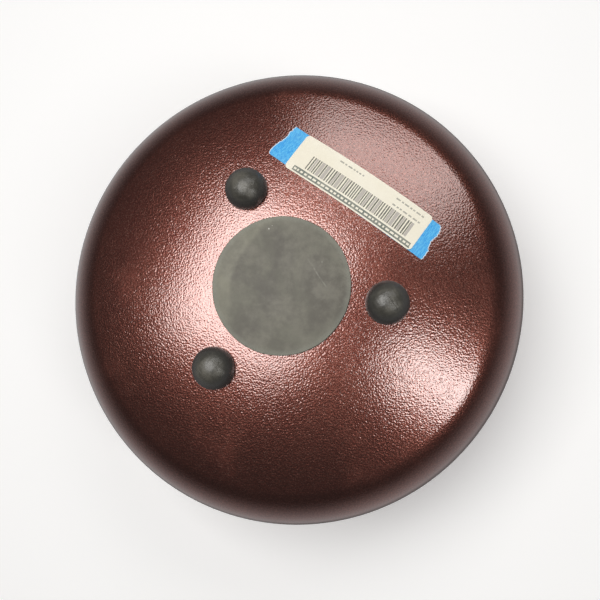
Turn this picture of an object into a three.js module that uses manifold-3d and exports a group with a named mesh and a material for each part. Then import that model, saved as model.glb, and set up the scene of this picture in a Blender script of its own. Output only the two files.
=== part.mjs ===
// Steel tongue drum, 12 inch class.
//
// Two pressed steel half shells meet rim to rim at the equator, where a weld
// bead closes them. Slots cut through the upper shell leave nine tongues, eight
// around the dome and one in the middle. Each tongue is a piece of its own,
// parted from the dome by a hairline gap at its root. The lower shell has a
// round sound port under a rubber cover disc, three domed rubber feet held by
// moulded-in studs, washers and nuts, and a price label over masking tape.
//
// Units are millimetres. The drum stands upright on its feet: +Z is up, z = 0
// is the table, and the z axis is the drum's own axis. The player sits at -Y.

import * as THREE from 'three';
import { mergeVertices } from 'three/addons/utils/BufferGeometryUtils.js';
import Module from 'manifold-3d';

const wasm = await Module();
wasm.setup();

const rad = (degrees) => (degrees * Math.PI) / 180;

// ---------------------------------------------------------- shell dimensions

const RIM_R = 152.4;          // outside radius at the equator (12 in across)
const SHELL_H = 66.5;         // equator to pole of each half shell, outside
const WALL_H = 16.4;          // upright wall beside the equator, each half
const CORNER_R = 34.1;        // shoulder radius, outside
const SHEET = 1.5;            // sheet thickness
const EQUATOR_Z = 75.6;       // height of the equator above the table
const WELD_GAP = 1.2;         // rim-to-rim gap filled by the weld

const SEGMENTS = 56;          // facets around the drum
const DOME_STEPS = 5;         // facets from the pole to the shoulder
const CORNER_STEPS = 5;       // facets over the shoulder

// The dome is a sphere tangent to the shoulder arc. Its centre lies on the
// axis, DOME_C over the equator plane (negative is on the far side).
const CORNER_AXIS_R = RIM_R - CORNER_R;
const DOME_C = ((SHELL_H - CORNER_R) ** 2 - CORNER_AXIS_R ** 2 - WALL_H ** 2)
  / (2 * (SHELL_H - CORNER_R - WALL_H));
const DOME_R = SHELL_H - DOME_C;
const DOME_END = Math.atan2(CORNER_AXIS_R, WALL_H - DOME_C);  // angle from the axis

// ------------------------------------------------------------------- helpers

// Keeps positions only, joins shared vertices, drops triangles that lose a
// corner in the joining and turns the faces outwards.
function clean(geometry) {
  const bare = geometry.clone();
  for (const name of Object.keys(bare.attributes)) {
    if (name !== 'position') bare.deleteAttribute(name);
  }
  const merged = mergeVertices(bare, 1e-4);
  const corners = merged.index.array;
  const kept = [];
  let volume = 0;
  for (let i = 0; i < corners.length; i += 3) {
    const triangle = [corners[i], corners[i + 1], corners[i + 2]];
    if (new Set(triangle).size < 3) continue;
    kept.push(...triangle);
    const [first, second, third] = triangle.map(
      (corner) => new THREE.Vector3().fromBufferAttribute(merged.attributes.position, corner));
    volume += first.dot(second.cross(third));
  }
  if (volume < 0) {
    for (let i = 0; i < kept.length; i += 3) [kept[i], kept[i + 1]] = [kept[i + 1], kept[i]];
  }
  merged.setIndex(kept);
  return merged;
}

function solid(geometry) {
  const closed = clean(geometry);
  return new wasm.Manifold(new wasm.Mesh({
    numProp: 3,
    vertProperties: new Float32Array(closed.attributes.position.array),
    triVerts: new Uint32Array(closed.index.array),
  }));
}

function toGeometry(manifold) {
  const mesh = manifold.getMesh();
  const positions = new Float32Array(mesh.vertProperties);
  const geometry = new THREE.BufferGeometry();
  geometry.setAttribute('position', new THREE.BufferAttribute(positions, 3));
  geometry.setIndex(Array.from(mesh.triVerts));
  return geometry;
}

const toVectors = (points) => points.map(([x, y]) => new THREE.Vector2(x, y));

// Turns a list of [radius, z] points about the z axis.
function turned(points, segments = SEGMENTS) {
  const geometry = new THREE.LatheGeometry(toVectors(points), segments);
  geometry.rotateX(Math.PI / 2);
  return clean(geometry);
}

function cylinder(radius, bottom, top, segments) {
  return turned([[0, bottom], [radius, bottom], [radius, top], [0, top]], segments);
}

// A flat outline of [x, y] points, pushed from z = bottom up to z = top.
function prism(points, bottom, top) {
  const settings = { depth: top - bottom, bevelEnabled: false };
  const geometry = new THREE.ExtrudeGeometry(new THREE.Shape(toVectors(points)), settings);
  geometry.translate(0, 0, bottom);
  return geometry;
}

// Turns by `angle` (radians) about z, then moves to x, y.
function planPlace(angle, x, y) {
  return new THREE.Matrix4().makeRotationZ(angle).setPosition(x, y, 0);
}

// --------------------------------------------------------------- half shells
// Profiles are [radius, height over the equator plane]; `offset` is the
// distance outside the sheet's outer face.

function domeHeight(radius, offset = 0) {
  return DOME_C + Math.sqrt((DOME_R + offset) ** 2 - radius * radius);
}

// From the pole out to the shoulder.
function domeArc(offset) {
  const radius = DOME_R + offset;
  return Array.from({ length: DOME_STEPS + 1 }, (_, i) => {
    const angle = (DOME_END * i) / DOME_STEPS;
    return [radius * Math.sin(angle), DOME_C + radius * Math.cos(angle)];
  });
}

// From the pole over the shoulder and along the wall to the rim.
function halfProfile(offset) {
  const points = domeArc(offset);
  const radius = CORNER_R + offset;
  for (let i = 1; i <= CORNER_STEPS; i++) {
    const angle = DOME_END + ((Math.PI / 2 - DOME_END) * i) / CORNER_STEPS;
    points.push([CORNER_AXIS_R + radius * Math.sin(angle), WALL_H + radius * Math.cos(angle)]);
  }
  points.push([RIM_R + offset, WELD_GAP / 2]);
  return points;
}

// side is +1 for the upper shell and -1 for the lower one.
function halfShell(side) {
  const section = [...halfProfile(0), ...halfProfile(-SHEET).reverse()];
  return solid(turned(section.map(([r, height]) => [r, EQUATOR_Z + side * height])));
}

// ----------------------------------------------------- top shell and tongues

const KERF = 1.2;             // slot width
const ROOT_GAP = 0.3;         // parts the tongue from its root
const SLOT_END_R = 2.0;       // relief hole at each end of a slot
const SLOT_END_Y = 0.9;       // its centre, from the root line towards the tip
const SLOT_END_FACETS = 16;
const TIP_STEPS = 12;         // facets around a tongue's tip

const OUTER_TONGUE_ROOT_R = 118;  // root lines of the outer tongues, from the axis
// rootHalf: half width at the root; tipHalf: half width where the round tip begins
const OUTER_WIDTHS = { rootHalf: 22, tipHalf: 17 };
// [length, azimuth in degrees]: the longest nearest the player, then
// alternating left and right
const OUTER_TONGUES = [
  [70, -90], [67, -135], [64, -45], [61.5, 180],
  [59, 0], [56.5, 135], [54, 45], [51.5, 90],
];
const CENTRE_ROOT_Y = -19;    // the middle tongue is rooted on the player's side
const CENTRE_TONGUE = { length: 40, rootHalf: 17, tipHalf: 16 };

// z range of the cutters, well clear of the dome
const CUT_BOTTOM = EQUATOR_Z + 40;
const CUT_TOP = EQUATOR_Z + SHELL_H + 10;

// Outline in the tongue's plan frame: the root line is y = 0, the tip points
// along +y. `grow` widens it on every side but the root.
function tongueOutline({ length, rootHalf, tipHalf }, grow, rootY) {
  const tipR = tipHalf + grow;
  const tipCentreY = length - tipHalf;
  const points = [[rootHalf + grow, rootY]];
  for (let i = 0; i <= TIP_STEPS; i++) {
    const angle = (Math.PI * i) / TIP_STEPS;
    points.push([tipR * Math.cos(angle), tipCentreY + tipR * Math.sin(angle)]);
  }
  points.push([-(rootHalf + grow), rootY]);
  return points;
}

// side is -1 or +1, the end of the slot on that side of the tongue.
function slotEndOutline({ rootHalf }, side) {
  const centreX = side * (rootHalf + KERF / 2);
  return Array.from({ length: SLOT_END_FACETS }, (_, i) => {
    const angle = (2 * Math.PI * (i + 0.5)) / SLOT_END_FACETS;
    return [centreX + SLOT_END_R * Math.cos(angle), SLOT_END_Y + SLOT_END_R * Math.sin(angle)];
  });
}

function tongueLayout() {
  const outer = OUTER_TONGUES.map(([length, degrees], i) => {
    const azimuth = rad(degrees);
    const x = OUTER_TONGUE_ROOT_R * Math.cos(azimuth);
    const y = OUTER_TONGUE_ROOT_R * Math.sin(azimuth);
    // the quarter turn points the tip at the drum's axis
    const place = planPlace(azimuth + Math.PI / 2, x, y);
    return { name: `tongue_${i + 1}`, length, ...OUTER_WIDTHS, place };
  });
  const centre = { name: 'tongue_centre', ...CENTRE_TONGUE, place: planPlace(0, 0, CENTRE_ROOT_Y) };
  return [...outer, centre];
}

// The upper shell with its slots cut, and the tongues that fill them.
function topPieces() {
  const upper = halfShell(1);
  let shell = upper;
  const tongues = tongueLayout().map((tongue) => {
    const cutter = (outline) => (
      solid(prism(outline, CUT_BOTTOM, CUT_TOP).applyMatrix4(tongue.place)));
    let body = upper.intersect(cutter(tongueOutline(tongue, 0, ROOT_GAP)));
    shell = shell.subtract(cutter(tongueOutline(tongue, KERF, 0)));
    for (const side of [-1, 1]) {
      const hole = cutter(slotEndOutline(tongue, side));
      shell = shell.subtract(hole);
      body = body.subtract(hole);
    }
    return { name: tongue.name, body };
  });
  return { shell, tongues };
}

// --------------------------------------------------------------- lower shell

const PORT_R = 30;            // sound port
const FEET_R = 65.8;          // the feet stand on this circle
const FEET_COUNT = 3;
const FIRST_FOOT_AZ = -111.3; // degrees
const STUD_HOLE_R = 2.9;

// Each foot's axis is square to the dome where it stands. In the foot's own
// frame z = 0 is the outside of the sheet and +z points away from the drum.
const feet = Array.from({ length: FEET_COUNT }, (_, i) => {
  const azimuth = rad(FIRST_FOOT_AZ + (360 / FEET_COUNT) * i);
  const base = new THREE.Vector3(
    FEET_R * Math.cos(azimuth), FEET_R * Math.sin(azimuth), EQUATOR_Z - domeHeight(FEET_R));
  const domeCentre = new THREE.Vector3(0, 0, EQUATOR_Z - DOME_C);
  const outward = base.clone().sub(domeCentre).normalize();
  const turn = new THREE.Quaternion().setFromUnitVectors(new THREE.Vector3(0, 0, 1), outward);
  const matrix = new THREE.Matrix4().compose(base, turn, new THREE.Vector3(1, 1, 1));
  return { base, turn, matrix };
});

function bottomShell() {
  let shell = halfShell(-1).subtract(solid(cylinder(PORT_R, -5, 30, 48)));
  for (const foot of feet) {
    const drill = cylinder(STUD_HOLE_R, -12, 12, 16).applyMatrix4(foot.matrix);
    shell = shell.subtract(solid(drill));
  }
  return shell;
}

// ----------------------------------------------------------- weld and cover

const WELD_W = 3.8;           // bead width
const WELD_PROUD = 0.45;      // bead height over the wall
const WELD_CLEAR = 0.05;      // between the weld and the steel

const COVER_R = 43.3;         // rubber cover disc
const COVER_T = 1.5;
const COVER_GAP = 0.15;       // between the cover and the steel
const COVER_BEVEL = 0.45;

// T section: a tongue fills the rim gap, the bead stands outside the wall.
function weldBead() {
  const inner = RIM_R - SHEET;
  const wall = RIM_R + WELD_CLEAR;
  const crest = RIM_R + WELD_PROUD;
  const gapHalf = WELD_GAP / 2 - WELD_CLEAR;
  const half = WELD_W / 2;
  const section = [
    [wall, -half], [crest, -half * 0.5], [crest, half * 0.5], [wall, half],
    [wall, gapHalf], [inner, gapHalf], [inner, -gapHalf], [wall, -gapHalf], [wall, -half],
  ];
  return turned(section.map(([r, z]) => [r, EQUATOR_Z + z]));
}

// Disc that follows the lower dome, bevelled at its outer edge.
function portCover() {
  const near = COVER_GAP;
  const far = COVER_GAP + COVER_T;
  // [radius, distance off the steel]
  const section = [
    [0, far], [COVER_R * 0.5, far], [COVER_R - COVER_BEVEL, far], [COVER_R, far - COVER_BEVEL],
    [COVER_R, near], [COVER_R * 0.5, near], [0, near],
  ];
  return turned(section.map(([r, offset]) => [r, EQUATOR_Z - domeHeight(r, offset)]));
}

// -------------------------------------------------------------------- feet
// Heights are along z in the foot's own frame.

const FOOT_BASE_R = 13.4;
const FOOT_H = 14.0;
const FOOT_GAP = 0.25;        // between the rubber and the steel
const FOOT_BEVEL = 0.5;
const FOOT_SKIRT = 1.6;       // base to the dome of the foot, bevel included
const FOOT_STEPS = 6;         // facets from the skirt to the tip

const STUD_R = 2.5;           // M5
const STUD_END = -9.1;        // inner end of the shank
const STUD_TIP_H = 0.7;       // height of the taper at that end
const STUD_TIP_INSET = 0.6;
const HEAD_R = 7.5;
const HEAD_BOTTOM = 3.3;
const HEAD_TOP = 5.1;
const HEAD_BEVEL = 0.4;
const HEAD_SIDE_CLEAR = 0.15; // around the head in its pocket
const STUD_CLEAR = 0.2;       // over and under the head, and around the shank

const WASHER_R = 5;
const WASHER_T = 1;
const WASHER_BORE_CLEAR = 0.25;
const WASHER_TOP = -SHEET - 0.45;

const NUT_FLATS = 8;          // across flats
const NUT_H = 4;
const NUT_BORE_CLEAR = 0.15;
const NUT_TOP = WASHER_TOP - WASHER_T - 0.2;

// Domed bumper with a pocket for the stud's head and a bore for its shank
// through the base. The tip is worn flat where it meets the table.
function footBody(foot) {
  const pocketR = HEAD_R + HEAD_SIDE_CLEAR;
  const pocketTop = HEAD_TOP + STUD_CLEAR;
  const pocketBottom = HEAD_BOTTOM - STUD_CLEAR;
  const boreR = STUD_R + STUD_CLEAR;
  const skirtTop = FOOT_GAP + FOOT_SKIRT;
  const section = [
    [0, pocketTop], [pocketR, pocketTop], [pocketR, pocketBottom],
    [boreR, pocketBottom], [boreR, FOOT_GAP],
    [FOOT_BASE_R - FOOT_BEVEL, FOOT_GAP], [FOOT_BASE_R, FOOT_GAP + FOOT_BEVEL],
  ];
  for (let i = 0; i < FOOT_STEPS; i++) {
    const angle = (Math.PI / 2) * (i / FOOT_STEPS);
    const height = skirtTop + (FOOT_H - skirtTop) * Math.sin(angle);
    section.push([FOOT_BASE_R * Math.cos(angle), height]);
  }
  section.push([0, FOOT_H]);
  const body = turned(section, 24).applyMatrix4(foot.matrix);
  const table = new THREE.BoxGeometry(400, 400, 40).translate(0, 0, -20);
  return solid(body).subtract(solid(table));
}

// Steel disc moulded into the rubber, with a shank that passes in through the
// shell.
function stud() {
  return turned([
    [0, HEAD_TOP], [HEAD_R - HEAD_BEVEL, HEAD_TOP], [HEAD_R, HEAD_TOP - HEAD_BEVEL],
    [HEAD_R, HEAD_BOTTOM], [STUD_R, HEAD_BOTTOM], [STUD_R, STUD_END + STUD_TIP_H],
    [STUD_R - STUD_TIP_INSET, STUD_END], [0, STUD_END],
  ], 20);
}

function washer() {
  const boreR = STUD_R + WASHER_BORE_CLEAR;
  const bottom = WASHER_TOP - WASHER_T;
  return turned([
    [boreR, WASHER_TOP], [WASHER_R, WASHER_TOP],
    [WASHER_R, bottom], [boreR, bottom], [boreR, WASHER_TOP],
  ], 24);
}

function nut() {
  const cornerR = NUT_FLATS / Math.sqrt(3);
  const corners = Array.from({ length: 6 }, (_, i) => {
    const angle = (i * Math.PI) / 3;
    return [cornerR * Math.cos(angle), cornerR * Math.sin(angle)];
  });
  const hexagon = new THREE.Shape(toVectors(corners));
  hexagon.closePath();
  const bore = new THREE.Path();
  bore.absarc(0, 0, STUD_R + NUT_BORE_CLEAR, 0, 2 * Math.PI, true);
  hexagon.holes.push(bore);
  const settings = { depth: NUT_H, bevelEnabled: false, curveSegments: 10 };
  const geometry = new THREE.ExtrudeGeometry(hexagon, settings);
  geometry.translate(0, 0, NUT_TOP - NUT_H);
  return clean(geometry);
}

// ---------------------------------------------------------- tape and label
// Both have their long direction along x in their own plan frame, whose origin
// is the label's centre.

const LABEL_AT = [46.25, -60.93]; // x, y of the label's centre
const LABEL_TURN = 34.5;      // its long direction, degrees from +X
const LABEL_L = 96;
const LABEL_W = 26.2;
const LABEL_CORNER_R = 2.6;
const LABEL_CORNER_STEPS = 3;
const LABEL_OFF = [0.4, 0.58];    // lower and upper face, off the steel

const TAPE_TURN = 35.45;      // the tape lies a little askew under the label
const TAPE_W = 24.6;
const TAPE_SHIFT_Y = 0.65;    // its middle line, from the label's centre
const TAPE_START = -61;       // x of the torn ends
const TAPE_END = 56;
const TAPE_OFF = [0.12, 0.3];
// Torn outline: [end it belongs to, x from that end, y in half widths]
const TAPE_OUTLINE = [
  [TAPE_START, 1.0, -1],
  [TAPE_END, -1.2, -1], [TAPE_END, 0, -0.8], [TAPE_END, -0.5, -0.35], [TAPE_END, -0.8, 0],
  [TAPE_END, 0.6, 0.35], [TAPE_END, 1.1, 0.7], [TAPE_END, 1.2, 1],
  [TAPE_START, 0, 1], [TAPE_START, -1.2, 0.65], [TAPE_START, -0.4, 0.3],
  [TAPE_START, 0.8, -0.15], [TAPE_START, 1.0, -0.5],
];

// A sheet that follows the lower dome between two offsets, cut to an outline.
function domeSticker(outline, degrees, [low, high]) {
  const section = [...domeArc(high), ...domeArc(low).reverse()];
  const sheet = solid(turned(section.map(([r, height]) => [r, EQUATOR_Z - height])));
  const place = planPlace(rad(degrees), ...LABEL_AT);
  return sheet.intersect(solid(prism(outline, -10, 40).applyMatrix4(place)));
}

function tapeStrip() {
  const outline = TAPE_OUTLINE.map(
    ([end, x, halfWidths]) => [end + x, TAPE_SHIFT_Y + (TAPE_W / 2) * halfWidths]);
  return domeSticker(outline, TAPE_TURN, TAPE_OFF);
}

function priceLabel() {
  const cornerX = LABEL_L / 2 - LABEL_CORNER_R;
  const cornerY = LABEL_W / 2 - LABEL_CORNER_R;
  const outline = [];
  for (const [sideX, sideY] of [[1, -1], [1, 1], [-1, 1], [-1, -1]]) {
    const start = Math.atan2(sideY, sideX) - Math.PI / 4;
    for (let i = 0; i <= LABEL_CORNER_STEPS; i++) {
      const angle = start + (Math.PI / 2) * (i / LABEL_CORNER_STEPS);
      outline.push([
        sideX * cornerX + LABEL_CORNER_R * Math.cos(angle),
        sideY * cornerY + LABEL_CORNER_R * Math.sin(angle),
      ]);
    }
  }
  return domeSticker(outline, LABEL_TURN, LABEL_OFF);
}

// ----------------------------------------------------------------- materials

const standard = (settings) => new THREE.MeshStandardMaterial(settings);
const paint = () => standard({ color: 0x6f2f33, roughness: 0.34, metalness: 0.45 });
const weldPaint = () => standard({ color: 0x63292d, roughness: 0.4, metalness: 0.4 });
const rubber = () => standard({ color: 0x2b2a28, roughness: 0.75, metalness: 0 });
const coverRubber = () => standard({ color: 0x77766c, roughness: 0.6, metalness: 0 });
const steel = () => standard({ color: 0xb4b6ba, roughness: 0.35, metalness: 1 });
const paper = () => standard({ color: 0xf4efdf, roughness: 0.6, metalness: 0 });
const crepe = () => standard({ color: 0x3f9fe6, roughness: 0.8, metalness: 0 });

// ------------------------------------------------------------------ assembly

const drum = new THREE.Group();
drum.name = 'steel_tongue_drum';

function add(name, geometry, material, parent = drum) {
  geometry.computeVertexNormals();
  const mesh = new THREE.Mesh(geometry, material);
  mesh.name = name;
  parent.add(mesh);
}

const top = topPieces();
add('top_shell', toGeometry(top.shell), paint());
for (const { name, body } of top.tongues) add(name, toGeometry(body), paint());
add('bottom_shell', toGeometry(bottomShell()), paint());
add('seam_weld', weldBead(), weldPaint());
add('port_cover', portCover(), coverRubber());

feet.forEach((foot, i) => {
  add(`foot_${i + 1}`, toGeometry(footBody(foot)), rubber());
  const post = new THREE.Group();
  post.position.copy(foot.base);
  post.quaternion.copy(foot.turn);
  drum.add(post);
  add(`foot_stud_${i + 1}`, stud(), steel(), post);
  add(`foot_washer_${i + 1}`, washer(), steel(), post);
  add(`foot_nut_${i + 1}`, nut(), steel(), post);
});

add('tape_strip', toGeometry(tapeStrip()), crepe());
add('price_label', toGeometry(priceLabel()), paper());

export default drum;
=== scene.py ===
"""Steel tongue drum: two domed, coated shells welded at the seam, on three rubber feet.

The drum's axis is z and its feet stand on z = 0. The tongues are cut in the upper dome. The
port cover, the tape and the label lie on the underside. Shapes are in millimetres, turned
into metres when a mesh is built; shaders, lights and the stage are in metres.
"""
import math
from collections import namedtuple

import bmesh
import bpy
import numpy as np
from mathutils import Matrix, Vector
from mathutils.geometry import delaunay_2d_cdt

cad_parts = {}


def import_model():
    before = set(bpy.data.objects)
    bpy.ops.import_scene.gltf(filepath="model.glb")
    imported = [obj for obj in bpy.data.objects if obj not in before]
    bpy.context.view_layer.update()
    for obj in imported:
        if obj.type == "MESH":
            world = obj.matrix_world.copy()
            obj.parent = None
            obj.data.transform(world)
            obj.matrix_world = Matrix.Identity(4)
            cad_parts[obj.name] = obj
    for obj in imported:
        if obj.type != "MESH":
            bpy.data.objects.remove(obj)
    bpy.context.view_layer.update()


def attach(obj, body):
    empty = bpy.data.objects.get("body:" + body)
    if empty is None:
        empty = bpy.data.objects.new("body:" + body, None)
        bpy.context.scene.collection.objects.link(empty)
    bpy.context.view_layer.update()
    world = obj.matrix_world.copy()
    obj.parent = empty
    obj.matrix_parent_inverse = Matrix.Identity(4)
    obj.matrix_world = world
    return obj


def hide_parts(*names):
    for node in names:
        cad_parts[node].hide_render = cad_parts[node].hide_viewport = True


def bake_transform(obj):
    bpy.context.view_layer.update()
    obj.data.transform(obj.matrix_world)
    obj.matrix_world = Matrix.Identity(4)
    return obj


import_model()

# ---------------------------------------------------------------------------
# Sizes, millimetres
# ---------------------------------------------------------------------------
SEAM_Z = 75.6         # height of the seam between the shells
RIM_R = 152.4
SHELL_H = 66.5        # one shell, from the seam to its crown
WALL_H = 16.4         # upright part of the shell
CORNER_R = 34.1       # shoulder between wall and dome
SHEET = 1.5
FILLET = 0.38         # the coat rounds every cut edge

WELD_GAP, WELD_W, WELD_PROUD = 1.2, 3.8, 0.45
PORT_R = 30.0
COVER_R, COVER_T = 43.3, 1.5

FOOT_RING_R = 65.8
FOOT_AZIMUTHS = [8.7 + 120 * k for k in (-1, 0, 1)]
FOOT_R, FOOT_H = 13.4, 14.0
STUD_R, STUD_HOLE_R, STUD_HEAD_R = 2.5, 2.9, 7.5

KERF = 1.2            # width of the slot round a tongue
RELIEF_R = 2.0        # round hole at each end of a slot
JOIN_Y = 0.9          # join line, from the tongue's origin towards its tip
ROOT_RING_R = 118.0   # origins of the outer tongues
ROOT_HALF, TIP_HALF = 22.0, 17.0
# azimuth (degrees) and length of tongues 1 to 8
OUTER_TONGUES = ((-90, 70), (-135, 67), (-45, 64), (180, 61.5),
                 (0, 59), (135, 56.5), (45, 54), (90, 51.5))
CENTRE_ORIGIN = (0.0, -19.0)
CENTRE_LENGTH, CENTRE_ROOT_HALF, CENTRE_TIP_HALF = 40.0, 17.0, 16.0

LABEL_AT = (46.25, -60.93)     # plan origin shared by label and tape
LABEL_TURN, LABEL_L, LABEL_W, LABEL_CORNER = 34.5, 96.0, 26.2, 2.6
TAPE_TURN, TAPE_W = 35.45, 24.6
TAPE_LEFT, TAPE_RIGHT = 61.0, 56.0      # reach each way from the origin

# The dome is a sphere that runs tangent into the shoulder; heights are above the seam
CORNER_RING_R = RIM_R - CORNER_R
DOME_C = (((SHELL_H - CORNER_R) ** 2 - CORNER_RING_R ** 2 - WALL_H ** 2)
          / (2 * (SHELL_H - CORNER_R - WALL_H)))
DOME_R = SHELL_H - DOME_C
DOME_END = math.atan2(CORNER_RING_R, WALL_H - DOME_C)
MEET_R = 122.0        # plan radius where the free-form dome mesh meets the turned shoulder
MEET_COUNT = 360      # vertices round that circle


# ---------------------------------------------------------------------------
# Geometry helpers
# ---------------------------------------------------------------------------
def dome_height(radius, proud=0.0):
    """Height above the seam at a plan radius, `proud` outside the dome's face."""
    return DOME_C + np.sqrt((DOME_R + proud) ** 2 - radius * radius)


def unit(vectors):
    return vectors / np.maximum(np.linalg.norm(vectors, axis=-1, keepdims=True), 1e-9)


def turns(count):
    """Angles of `count` even steps round a circle."""
    return np.arange(count) * 2 * math.pi / count


def revolve(radius, angle, z):
    """Points at the given radius, angle and height, which may be grids."""
    return np.stack(np.broadcast_arrays(radius * np.cos(angle), radius * np.sin(angle), z), -1)


def circle(radius, count):
    return radius * np.stack([np.cos(turns(count)), np.sin(turns(count))], 1)


def waves(angle, table):
    """Sum of sines; rows are (height, waves per turn, phase)."""
    return sum(height * np.sin(count * angle + phase) for height, count, phase in table)


def cells(grid):
    """The four corners of every cell in a U x V grid."""
    return np.stack([grid[:-1, :-1], grid[1:, :-1], grid[1:, 1:], grid[:-1, 1:]], 2)


class Skin:
    """Gathers faces as corner positions and corner normals, then welds them to one mesh."""

    def __init__(self):
        self.parts = []

    def add(self, corners, normals=0.0, material=0):
        """corners is faces x corners x 3."""
        corners = np.asarray(corners, float)
        if len(corners):
            normals = np.broadcast_to(np.asarray(normals, float), corners.shape)
            self.parts.append((corners, normals, material))

    def add_grid(self, grid, normals=0.0, material=0, around=False, flip=False):
        """Quads over a U x V grid of points, closed round u when `around`."""
        faces = []
        for field in (grid, np.broadcast_to(normals, grid.shape)):
            if around:
                field = np.concatenate([field, field[:1]])
            faces.append(cells(field)[:, :, ::-1 if flip else 1].reshape(-1, 4, 3))
        self.add(*faces, material)

    def build(self, name, materials, own_normals=True):
        points = np.concatenate([part[0].reshape(-1, 3) for part in self.parts])
        key = np.round(points / 1e-4).astype(np.int64)
        _, first, index = np.unique(key, axis=0, return_index=True, return_inverse=True)
        index = index.reshape(-1)
        faces, face_materials, face_normals = [], [], []
        at = 0
        for corners, normals, material in self.parts:
            count, size = corners.shape[:2]
            ids = index[at:at + count * size].reshape(-1, size)
            at += count * size
            for face, normal in zip(ids.tolist(), normals):
                keep = [i for i in range(size) if face[i] != face[i - 1]]
                if len({face[i] for i in keep}) < 3:
                    continue
                faces.append([face[i] for i in keep])
                face_normals.append(normal[keep])
                face_materials.append(material)
        mesh = bpy.data.meshes.new(name)
        mesh.from_pydata((points[first] * 0.001).tolist(), [], faces)
        mesh.polygons.foreach_set("material_index", np.array(face_materials, np.int32))
        mesh.polygons.foreach_set("use_smooth", np.ones(len(faces), bool))
        for material in materials:
            mesh.materials.append(material)
        mesh.update()
        if own_normals:
            mesh.normals_split_custom_set(unit(np.concatenate(face_normals)).tolist())
        ob = bpy.data.objects.new(name, mesh)
        bpy.context.scene.collection.objects.link(ob)
        return ob

    def build_smooth(self, name, materials, sharp):
        """Builds with Blender's smooth shading, hard only above `sharp` degrees."""
        ob = self.build(name, materials, own_normals=False)
        work = bmesh.new()
        work.from_mesh(ob.data)
        bmesh.ops.recalc_face_normals(work, faces=work.faces)       # every face looks outwards
        work.to_mesh(ob.data)
        work.free()
        ob.data.set_sharp_from_angle(angle=math.radians(sharp))
        return ob


def turned_piece(name, grid, material, sharp, flip=True):
    """One closed piece from a grid that runs round its axis."""
    skin = Skin()
    skin.add_grid(grid, around=True, flip=flip)
    return skin.build_smooth(name, [material], sharp)


# ---------------------------------------------------------------------------
# Shader helpers
# ---------------------------------------------------------------------------
class Nodes:
    """Short calls for a node tree. Inputs take a value or another node's output."""

    def __init__(self, tree, output):
        self.tree = tree
        tree.nodes.clear()
        self.output = self.node(output)
        self.coord = self.node("TexCoord").outputs

    def put(self, socket, value):
        if isinstance(value, bpy.types.NodeSocket):
            self.tree.links.new(value, socket)
        elif socket.type == "RGBA":
            socket.default_value = (*value[:3], 1.0)
        else:
            socket.default_value = value

    def node(self, kind, inputs=(), **settings):
        node = self.tree.nodes.new("ShaderNode" + kind)
        for key, value in settings.items():
            setattr(node, key, value)
        for key, value in dict(inputs).items():
            self.put(node.inputs[key], value)
        return node

    def math(self, operation, a, b=0.0):
        return self.node("Math", {0: a, 1: b}, operation=operation).outputs[0]

    def plus(self, a, b):
        return self.math("ADD", a, b)

    def minus(self, a, b):
        return self.math("SUBTRACT", a, b)

    def times(self, a, b):
        return self.math("MULTIPLY", a, b)

    def scaled(self, value, base, gain):
        """base + gain * value"""
        return self.plus(base, self.times(value, gain))

    def wander(self, value, noise, amount):
        """value, moved by a noise centred on zero"""
        return self.plus(value, self.times(self.minus(noise, 0.5), amount))

    def vec(self, operation, a, b=(0, 0, 0)):
        second = "Scale" if operation == "SCALE" else 1
        node = self.node("VectorMath", {0: a, second: b}, operation=operation)
        is_number = operation in ("DOT_PRODUCT", "LENGTH", "DISTANCE")
        return node.outputs["Value" if is_number else 0]

    def flat_position(self):
        """Object position with z dropped."""
        return self.vec("MULTIPLY", self.coord["Object"], (1, 1, 0))

    def split(self, vector):
        return self.node("SeparateXYZ", {0: vector}).outputs

    def ramp(self, value, between, to=(0.0, 1.0), smooth=True):
        """Maps the range `between` onto `to`."""
        inputs = {"Value": value, "From Min": between[0], "From Max": between[1],
                  "To Min": to[0], "To Max": to[1]}
        kind = "SMOOTHSTEP" if smooth else "LINEAR"
        return self.node("MapRange", inputs, interpolation_type=kind).outputs["Result"]

    def mix(self, mask, a, b, amount=None):
        """Colour a where the mask is 0, b where it is 1; `amount` weakens the mask."""
        if amount is not None:
            mask = self.times(mask, amount)
        return self.node("Mix", {0: mask, 6: a, 7: b}, data_type="RGBA").outputs[2]

    def noise(self, scale, detail=3.0, rough=0.6, vector=None, distortion=0.0):
        inputs = {"Scale": scale, "Detail": detail, "Roughness": rough,
                  "Distortion": distortion, "Vector": vector or self.coord["Object"]}
        return self.node("TexNoise", inputs).outputs["Fac"]

    def bump(self, height, distance, strength=1.0):
        inputs = {"Strength": strength, "Distance": distance, "Height": height}
        return self.node("Bump", inputs).outputs[0]

    def finish(self, shader):
        self.put(self.output.inputs["Surface"], shader.outputs[0])

    def surface(self, **inputs):
        """Principled surface; underscores stand for spaces in the input names."""
        named = {key.replace("_", " "): value for key, value in inputs.items()}
        self.finish(self.node("BsdfPrincipled", named))


def make_material(name, design, **options):
    material = bpy.data.materials.new(name)
    material.use_nodes = True
    design(Nodes(material.node_tree, "OutputMaterial"), **options)
    return material


def srgb(*channels):
    """Linear colour from 0-255 channels."""
    parts = [channel / 255 for channel in channels]
    return tuple(c / 12.92 if c <= 0.04045 else ((c + 0.055) / 1.055) ** 2.4 for c in parts)


# ---------------------------------------------------------------------------
# Materials; lengths in metres, noise scales per metre
# ---------------------------------------------------------------------------
PAINT_A, PAINT_B = (0.205, 0.0600, 0.0445), (0.250, 0.0780, 0.0565)
# the first colour below is painted shade, for the valleys of the orange peel
PAINT_VALLEY_SHADE, PAINT_FLAKE = (0.080, 0.0190, 0.0130), (0.62, 0.35, 0.28)
FLAKES_PER_METRE = 2600.0


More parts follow.
